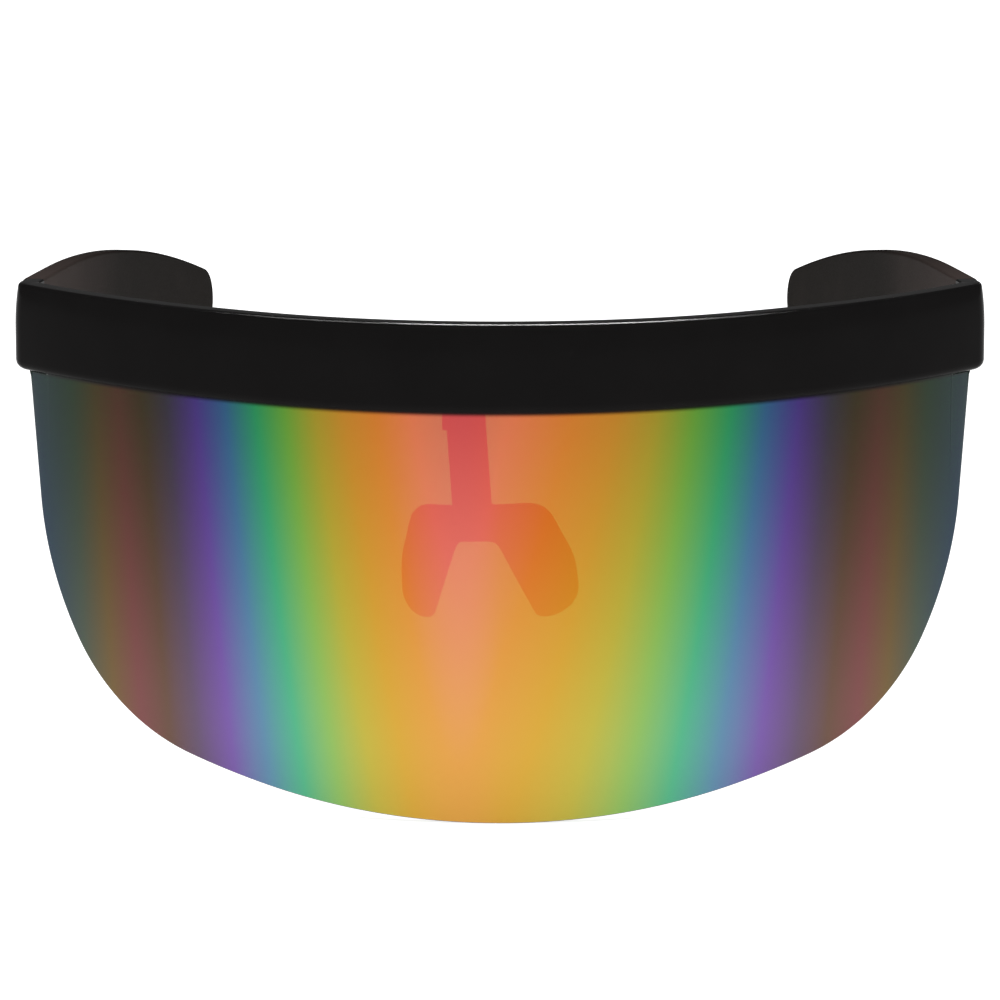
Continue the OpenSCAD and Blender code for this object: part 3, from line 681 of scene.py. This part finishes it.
# Shield lens: a flat outline of arcs, laid round the plan
lens = {
    "drop": 64.3, "thickness": 1.9, "depth": 2.05, "halfWidth": 76.05, "top": 72.3, "shoulder": 64.25,
    "tuckHalfWidth": 73.007, "bottomAngle": 15.9, "cornerRadius": 31.3, "cornerAngle": 61.7,
    "sideRadius": 55, "sideAngle": 85.4, "edge": 0.3,
    "bottomSteps": 44, "cornerSteps": 30, "sideSteps": 24, "edgeSteps": 30,
    "stepRun": 0.05,  # how far the shoulder's step runs outwards
    "coated": 0.75,  # the least share by which a coated face looks outwards
}


def lensOutline():
    # points of half of the lower edge from the middle to the side, then the same widths on the upper edge
    start, turn, end = (math.radians(lens[k]) for k in ("bottomAngle", "cornerAngle", "sideAngle"))
    run = (lens["halfWidth"] - lens["cornerRadius"] * (math.sin(turn) - math.sin(start))
           - lens["sideRadius"] * (math.sin(end) - math.sin(turn)))
    rise = (lens["drop"] - lens["cornerRadius"] * (math.cos(start) - math.cos(turn))
            - lens["sideRadius"] * (math.cos(turn) - math.cos(end)))
    bottomRadius = ((run * math.sin(end) - rise * math.cos(end))
                    / (math.sin(start) * math.sin(end) - (1 - math.cos(start)) * math.cos(end)))
    first = Vector((0, bottomRadius))
    second = first + (bottomRadius - lens["cornerRadius"]) * ahead(lens["bottomAngle"])
    third = second + (lens["cornerRadius"] - lens["sideRadius"]) * ahead(lens["cornerAngle"])
    low = [first + bottomRadius * ahead(a) for a in spread(0, lens["bottomAngle"], lens["bottomSteps"])]
    low += [second + lens["cornerRadius"] * ahead(a)
            for a in spread(lens["bottomAngle"], lens["cornerAngle"], lens["cornerSteps"])[1:]]
    low += [third + lens["sideRadius"] * ahead(a)
            for a in spread(lens["cornerAngle"], lens["sideAngle"], lens["sideSteps"])[1:]]
    corner = Vector((lens["halfWidth"], lens["shoulder"]))
    low += [low[-1].lerp(corner, share) for share in spread(0, 1, lens["edgeSteps"])[1:]]
    # two more points where the part behind the bar ends, and the upper edge steps down to the shoulder
    step = lens["tuckHalfWidth"]
    place = next(i for i, p in enumerate(low) if p.x > step)
    cut = pointAt(low, step)
    low[place:place] = [cut, cut + lens["stepRun"] * (low[place] - cut).normalized()]
    high = [Vector((p.x, lens["top"] if p.x <= step + 1e-6 else lens["shoulder"])) for p in low]
    return low, high


def lensPlace(x, z, face, depth):
    angle = angleAt(x, lens["depth"])
    point = onPlan(angle, lens["depth"] + face * lens["thickness"] + depth)
    return toFrame(point.x, point.y, z)


def makeLens():
    low, high = lensOutline()
    thing = roundedPlate("shieldLens", mirrored(low) + low, mirrored(high) + high, lensPlace, lens["edge"])
    shadeSoft(thing, angle=60)
    setPiece(thing, "front", [coating, smoke], ["shield_lens"])
    middle = toFrame(0, plan["midRadius"], 0)
    for face in thing.data.polygons:
        # the coating covers the outer face and stops at the rounded edge
        outward = Vector((face.center.x, face.center.y - middle.y, 0)).normalized()
        face.material_index = 0 if face.normal.dot(outward) > lens["coated"] else 1
    return thing


shieldLens = makeLens()
print("shield lens made,", len(shieldLens.data.polygons), "faces")

# Arms: a broad band that bows inwards and droops to a round tip
arm = {
    "length": 114.4, "height": 14, "bow": 990, "rootThickness": 3.5, "tipThickness": 2.8, "inset": 0.4,
    "start": 0.2, "droopStart": 18, "droopRadius": 365, "tipRadius": 6, "edge": 0.5,
    "rootSteps": 14, "droopSteps": 60, "tipSteps": 12, "heelSteps": 14, "endSteps": 6, "stations": 150,
}


def armOutline():
    # the side view: straight, then two arcs about one centre, and a square end with round corners
    centre = Vector((arm["droopStart"], plan["barTop"] - arm["droopRadius"]))
    high = arm["droopRadius"] - arm["tipRadius"]
    low = arm["droopRadius"] - arm["height"] + arm["tipRadius"]
    topAngle = math.asin((arm["length"] - arm["tipRadius"] - arm["droopStart"]) / high)
    endAngle = topAngle + math.asin(arm["tipRadius"] / high)
    lowAngle = endAngle - math.asin(arm["tipRadius"] / low)

    def up(angle):
        return Vector((math.sin(angle), math.cos(angle)))

    straight = spread(arm["start"], arm["droopStart"], arm["rootSteps"])
    topEdge = [Vector((x, plan["barTop"])) for x in straight]
    topEdge += [centre + arm["droopRadius"] * up(a) for a in spread(0, topAngle, arm["droopSteps"])[1:]]
    tipCorner = centre + high * up(topAngle)
    topEdge += [tipCorner + arm["tipRadius"] * up(a)
                for a in spread(topAngle, math.pi / 2, arm["tipSteps"])[1:]]
    lowEdge = [Vector((x, plan["barBottom"])) for x in straight]
    lowEdge += [centre + (arm["droopRadius"] - arm["height"]) * up(a)
                for a in spread(0, lowAngle, arm["droopSteps"])[1:]]
    heelCorner = centre + low * up(lowAngle)
    lowEdge += [heelCorner + arm["tipRadius"] * up(a)
                for a in spread(lowAngle + math.pi, endAngle + math.pi / 2, arm["heelSteps"])[1:]]
    lowEdge += [tipCorner + arm["tipRadius"] * up(a)
                for a in spread(endAngle + math.pi / 2, math.pi / 2, arm["endSteps"])]
    return lowEdge, topEdge


def makeArm(side, word):
    low, high = armOutline()
    low, high = evenPairs(low, high, low[0].x, low[-1].x, arm["stations"])
    high[-1] = low[-1].copy()

    def place(x, z, face, depth):
        turn = math.asin(x / arm["bow"])
        share = x / arm["length"]
        thickness = arm["rootThickness"] + (arm["tipThickness"] - arm["rootThickness"]) * share
        inward = face * thickness + depth
        out = -arm["inset"] - arm["bow"] * (1 - math.cos(turn)) - inward * math.cos(turn)
        return fromLug(side, out, x - inward * math.sin(turn), z)

    thing = roundedPlate("arm" + word, low, high, place, arm["edge"], squareStart=True)
    combine(thing, pocket(side, -over, hinge["pinY"] + hinge["armReach"] + hinge["fit"]), "DIFFERENCE")
    shadeSoft(thing)
    name = word.lower()
    return setPiece(thing, name + "_arm", [matteNylon], ["arm_" + name])


for side, word in ((1, "Left"), (-1, "Right")):
    made = makeArm(side, word)
    print("arm made,", made.name, len(made.data.polygons), "faces")

# Nosepiece: a stem and a bent saddle of two wings, moulded as one
nose = {
    "x": -5.7, "front": 7.102, "screwHeight": 68.3, "lean": 4.1, "twist": 19.5,
    "stemWidth": 6.1, "stemThickness": 2.0, "stemOver": 3.2, "stemDrop": 19.3,
    "saddleRadius": 26, "wingThickness": 1.8,
    "outline": [  # x, z and the radius of the corner there
        (10.7, 0, 4), (14.2, -8.95, 12), (14.7, -17.9, 4.3), (8.7, -17.9, 1.3), (3.3, -5.7, 1.8)],
    "archTop": 5.7, "edge": 0.5, "stations": 60, "cornerSteps": 10, "voxel": 0.25, "smoothing": 3,
}


def roundCorner(corner, before, after, radius):
    u, v = (before - corner).normalized(), (after - corner).normalized()
    half = math.acos(u.dot(v)) / 2
    centre = corner + (u + v).normalized() * radius / math.sin(half)
    first = corner + u * radius / math.tan(half) - centre
    second = corner + v * radius / math.tan(half) - centre
    turn = math.atan2(first.x * second.y - first.y * second.x, first.dot(second))
    return [centre + Matrix.Rotation(a, 2) @ first for a in spread(0, turn, nose["cornerSteps"])]


def wingOutline():
    # half of the outline from the top of the middle, round the foot, to the top of the arch
    corners = [(Vector((x, z)), r) for x, z, r in nose["outline"]]
    chain = [Vector((0, 0))] + [c for c, _ in corners] + [Vector((0, -nose["archTop"]))]
    points = [chain[0]]
    for i, (corner, radius) in enumerate(corners):
        points += roundCorner(corner, chain[i], chain[i + 2], radius)
    return points + [chain[-1]]


def wingPairs():
    # the outline as pairs of points, one above the other, in both halves
    points = wingOutline()
    widest = max(range(len(points)), key=lambda i: points[i].x)
    low, high = evenPairs(
        points[widest:][::-1], points[:widest + 1], 0, points[widest].x, nose["stations"])
    high[-1] = low[-1] = points[widest].copy()
    return mirrored(low) + low, mirrored(high) + high


def makeNosepiece():
    seat = (Matrix.Translation(toFrame(nose["x"], nose["front"], nose["screwHeight"]))
            @ Matrix.Rotation(-math.radians(nose["lean"]), 4, "Y"))
    turned = seat @ Matrix.Rotation(-math.radians(nose["twist"]), 4, "Z")

    def onSaddle(x, z, face, depth):
        radius = nose["saddleRadius"] - face * nose["wingThickness"] - depth
        back = nose["saddleRadius"] - math.sqrt(radius ** 2 - x ** 2)
        return turned @ (Vector((x, back, z - nose["stemDrop"])) * mm)

    def onStem(x, z, face, depth):
        return seat @ (Vector((x, face * nose["stemThickness"] + depth, z)) * mm)

    thing = roundedPlate("nosepiece", *wingPairs(), onSaddle, nose["edge"])
    half = nose["stemWidth"] / 2
    foot = -nose["stemDrop"] - nose["archTop"] / 2
    stem = roundedPlate("stem", [Vector((x, foot)) for x in (-half, half)],
                        [Vector((x, nose["stemOver"])) for x in (-half, half)], onStem, nose["edge"])
    combine(thing, [stem], "UNION")
    melt = thing.modifiers.new("melt", "REMESH")  # one skin, so that stem and wings run into each other
    melt.mode = "VOXEL"
    melt.voxel_size = nose["voxel"] * mm
    soften = thing.modifiers.new("soften", "SMOOTH")
    soften.factor = 0.5
    soften.iterations = nose["smoothing"]
    bakeShape(thing)
    thing.data.shade_smooth()
    return setPiece(thing, "front", [noseNylon], ["nosepiece"])


nosepiece = makeNosepiece()
print("nosepiece made,", len(nosepiece.data.polygons), "faces")

# Hinge leaves: the CAD shapes with their edges broken
leaf = {
    "edge": 0.12, "steps": 2, "weld": 0.001,
    "flat": 1, "sharp": 40,  # degrees: up to the first, faces are merged; from the second, edges are broken
}


def makeLeaf(node, name, body):
    work = bmesh.new()
    work.from_mesh(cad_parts[node].data)
    bmesh.ops.remove_doubles(work, verts=work.verts, dist=leaf["weld"] * mm)
    bmesh.ops.dissolve_limit(
        work, angle_limit=math.radians(leaf["flat"]), verts=work.verts, edges=work.edges)
    mesh = bpy.data.meshes.new(name)
    work.to_mesh(mesh)
    work.free()
    thing = bpy.data.objects.new(name, mesh)
    scene.collection.objects.link(thing)
    step = thing.modifiers.new("edges", "BEVEL")
    step.width = leaf["edge"] * mm
    step.segments = leaf["steps"]
    step.limit_method = "ANGLE"
    step.angle_limit = math.radians(leaf["sharp"])
    bakeShape(thing)
    shadeSoft(thing)
    return setPiece(thing, body, [leafSteel], [node])


for word in ("Left", "Right"):
    makeLeaf("lug_hinge_leaf_" + word.lower(), "lugHingeLeaf" + word, "front")
    makeLeaf("arm_hinge_leaf_" + word.lower(), "armHingeLeaf" + word, word.lower() + "_arm")
print("hinge leaves made")

# Screws: one tree for all, a chamfered head with a slot on a plain shank
screw = {
    "sides": 40, "slotWidth": 0.35,
    "rim": 0.55, "cone": 0.46,  # the straight part and the chamfer, in head heights
    "coneTop": 0.74, "slotLength": 3,  # in head radii
    "sunk": 0.49,  # how far down the shank's middle lies, in shank lengths
}
largeScrew = {"headRadius": 1.6, "headHeight": 0.9, "shankRadius": 0.8, "shankLength": 3.3}
pinScrew = {"headRadius": 1.3, "headHeight": 0.7, "shankRadius": 0.65, "shankLength": 7.1}
smallScrew = {"headRadius": 0.95, "headHeight": 0.45, "shankRadius": 0.5, "shankLength": 2.9}
screwPlaces = {
    "lensAngles": (-46, -18, 18, 46), "lensHeight": 4.5,  # above the bottom of the bar
    "lugReach": 3.45, "lugHeight": 2.55, "armReach": (3.15, 9.35),  # from the pin's middle
}


def screwTree():
    tree, given = nodeTree("slottedScrews", {
        "Head radius": "Float", "Head height": "Float", "Shank radius": "Float", "Shank length": "Float",
        "Slot width": "Float", "Seed": "Int", "Material": "Material",
    })
    shares = {
        "rimHeight": ("Head height", screw["rim"]), "rimMiddle": ("Head height", screw["rim"] / 2),
        "coneHeight": ("Head height", screw["cone"]), "coneFoot": ("Head height", 1 - screw["cone"]),
        "coneTop": ("Head radius", screw["coneTop"]), "slotLength": ("Head radius", screw["slotLength"]),
        "shankMiddle": ("Shank length", -screw["sunk"]),
    }
    parts = {name: addNode(tree, "ShaderNodeMath", {0: given[label], 1: share}, operation="MULTIPLY")
             for name, (label, share) in shares.items()}

    def lifted(shape, height):
        place = addNode(tree, "ShaderNodeCombineXYZ", {"Z": height})
        return addNode(tree, "GeometryNodeTransform", {"Geometry": shape, "Translation": place})

    rim = addNode(tree, "GeometryNodeMeshCylinder", {
        "Vertices": screw["sides"], "Radius": given["Head radius"], "Depth": parts["rimHeight"]})
    cone = addNode(tree, "GeometryNodeMeshCone", {
        "Vertices": screw["sides"], "Radius Bottom": given["Head radius"],
        "Radius Top": parts["coneTop"], "Depth": parts["coneHeight"]})
    shank = addNode(tree, "GeometryNodeMeshCylinder", {
        "Vertices": screw["sides"], "Radius": given["Shank radius"], "Depth": given["Shank length"]})
    whole = addNode(tree, "GeometryNodeMeshBoolean", operation="UNION", solver="EXACT")
    for shape, height in ((rim, "rimMiddle"), (cone, "coneFoot"), (shank, "shankMiddle")):
        tree.links.new(lifted(shape, parts[height]).outputs[0], whole.inputs["Mesh 2"])
    slotSize = addNode(tree, "ShaderNodeCombineXYZ", {
        "X": parts["slotLength"], "Y": given["Slot width"], "Z": given["Head height"]})
    slot = addNode(tree, "GeometryNodeMeshCube", {"Size": slotSize})
    slotted = addNode(tree, "GeometryNodeMeshBoolean", {
        "Mesh 1": whole, "Mesh 2": lifted(slot, given["Head height"])},
        operation="DIFFERENCE", solver="EXACT")
    axis = addNode(tree, "GeometryNodeInputNamedAttribute", {"Name": "axis"}, data_type="FLOAT_VECTOR")
    along = addNode(tree, "FunctionNodeAlignRotationToVector", {"Vector": axis}, axis="Z")
    spin = addNode(tree, "FunctionNodeRandomValue", {
        2: 0, 3: math.pi, "Seed": given["Seed"]}, data_type="FLOAT")
    spinZ = addNode(tree, "ShaderNodeCombineXYZ", {"Z": spin.outputs[1]})
    turned = addNode(tree, "FunctionNodeRotateRotation", {
        "Rotation": along, "Rotate By": spinZ}, rotation_space="LOCAL")
    placed = addNode(tree, "GeometryNodeInstanceOnPoints", {
        "Points": given["Geometry"], "Instance": slotted, "Rotation": turned})
    endTree(tree, placed, given["Material"])
    return tree


slottedScrews = screwTree()


def makeScrews(name, size, seed, places, body, nodes):
    # places are the middle of each seat and the way that its head points
    thing = makeObject(name, [spot for spot, _ in places], [])
    axes = thing.data.attributes.new("axis", "FLOAT_VECTOR", "POINT")
    for item, (_, way) in zip(axes.data, places):
        item.vector = way
    runTree(thing, slottedScrews, {
        "Head radius": size["headRadius"] * mm, "Head height": size["headHeight"] * mm,
        "Shank radius": size["shankRadius"] * mm, "Shank length": size["shankLength"] * mm,
        "Slot width": screw["slotWidth"] * mm, "Seed": seed, "Material": screwSteel,
    })
    shadeSoft(thing, angle=30)
    return setPiece(thing, body, [screwSteel], nodes)


def lensScrewPlaces():
    places = []
    height = plan["barBottom"] + screwPlaces["lensHeight"]
    for angle in screwPlaces["lensAngles"]:
        seat = onPlan(angle, lens["depth"] + lens["thickness"] + hinge["fit"])
        way = onPlan(angle, bar["thickness"]) - onPlan(angle, 0)
        places.append((toFrame(seat.x, seat.y, height), Vector((way.x, way.y, 0)).normalized()))
    back = nose["front"] + nose["stemThickness"] + hinge["fit"]
    places.append((toFrame(nose["x"], back, nose["screwHeight"]), Vector((0, 1, 0))))
    return places


def leafScrewPlaces(side, spots):
    way = (fromLug(side, -1, 0, 0) - fromLug(side, 0, 0, 0)).normalized()
    return [(fromLug(side, -bar["thickness"], y, z), way) for y, z in spots]


makeScrews("lensScrews", largeScrew, 3, lensScrewPlaces(), "front", ["lens_screws", "nosepiece_screw"])
pinTop = hinge["middle"] + hinge["height"] / 2
pins = [(fromLug(s, hinge["pinX"], hinge["pinY"], pinTop), Vector((0, 0, 1))) for s in (1, -1)]
makeScrews("hingePins", pinScrew, 5, pins, "front", ["hinge_screw_left", "hinge_screw_right"])
lugSpots = [(hinge["pinY"] - screwPlaces["lugReach"], hinge["middle"] + s * screwPlaces["lugHeight"])
            for s in (-1, 1)]
armSpots = [(hinge["pinY"] + reach, hinge["middle"]) for reach in screwPlaces["armReach"]]
makeScrews("lugLeafScrews", smallScrew, 7, leafScrewPlaces(1, lugSpots) + leafScrewPlaces(-1, lugSpots),
           "front", ["lug_leaf_screws_left", "lug_leaf_screws_right"])
for side, word in ((1, "Left"), (-1, "Right")):
    makeScrews("armLeafScrews" + word, smallScrew, 8 + side, leafScrewPlaces(side, armSpots),
               word.lower() + "_arm", ["arm_leaf_screws_" + word.lower()])
print("screws made")

# Studio: a pale floor, a dim room, one large panel overhead and a strip with two faint tails, in whose
# light only the bar's upper edge shines
studio = {
    "floorSize": 14, "floorColour": "#f2f2f2", "floorGlow": 0.8, "room": 0.15,
    "panelSize": (3.0, 3.0), "panelPlace": (0, 0.3, 2.2), "panelPower": 45,
    "stripSize": (0.96, 0.6), "stripPlace": (0.17, -0.15, 1.2), "stripPower": 1500,
    "tailSize": (2.2, 0.6), "tailPlace": (0.03, -0.15, 1.21), "tailPower": 600,
}


def makeFloor():
    half = studio["floorSize"] / 2
    corners = [(-half, -half, 0), (half, -half, 0), (half, half, 0), (-half, half, 0)]
    floor = makeObject("floor", corners, [(0, 1, 2, 3)])
    material, tree, _ = startMaterial("paleFloor")
    shader = addNode(tree, "ShaderNodeBsdfPrincipled", {
        "Base Color": linearColour(studio["floorColour"]), "Roughness": 0.9, "Specular IOR Level": 0,
        "Emission Color": (1, 1, 1, 1), "Emission Strength": studio["floorGlow"]})
    floor.data.materials.append(endMaterial(material, shader))


def makeLight(name, size, power, place):
    data = bpy.data.lights.new(name, "AREA")
    data.shape = "RECTANGLE"
    data.size, data.size_y = size
    data.energy = power
    light = bpy.data.objects.new(name, data)
    light.location = place
    scene.collection.objects.link(light)
    return light


makeFloor()
world = bpy.data.worlds.new("room")
world.use_nodes = True
roomLight = world.node_tree.nodes["Background"].inputs
roomLight["Color"].default_value = (1, 1, 1, 1)
roomLight["Strength"].default_value = studio["room"]
scene.world = world
makeLight("panel", studio["panelSize"], studio["panelPower"], studio["panelPlace"])
edgeLit = bpy.data.collections.new("edgeLit")
edgeLit.objects.link(browBar)
for name in ("strip", "tail"):
    light = makeLight(name, studio[name + "Size"], studio[name + "Power"], studio[name + "Place"])
    light.visible_diffuse = False
    light.light_linking.receiver_collection = edgeLit
print("studio set")
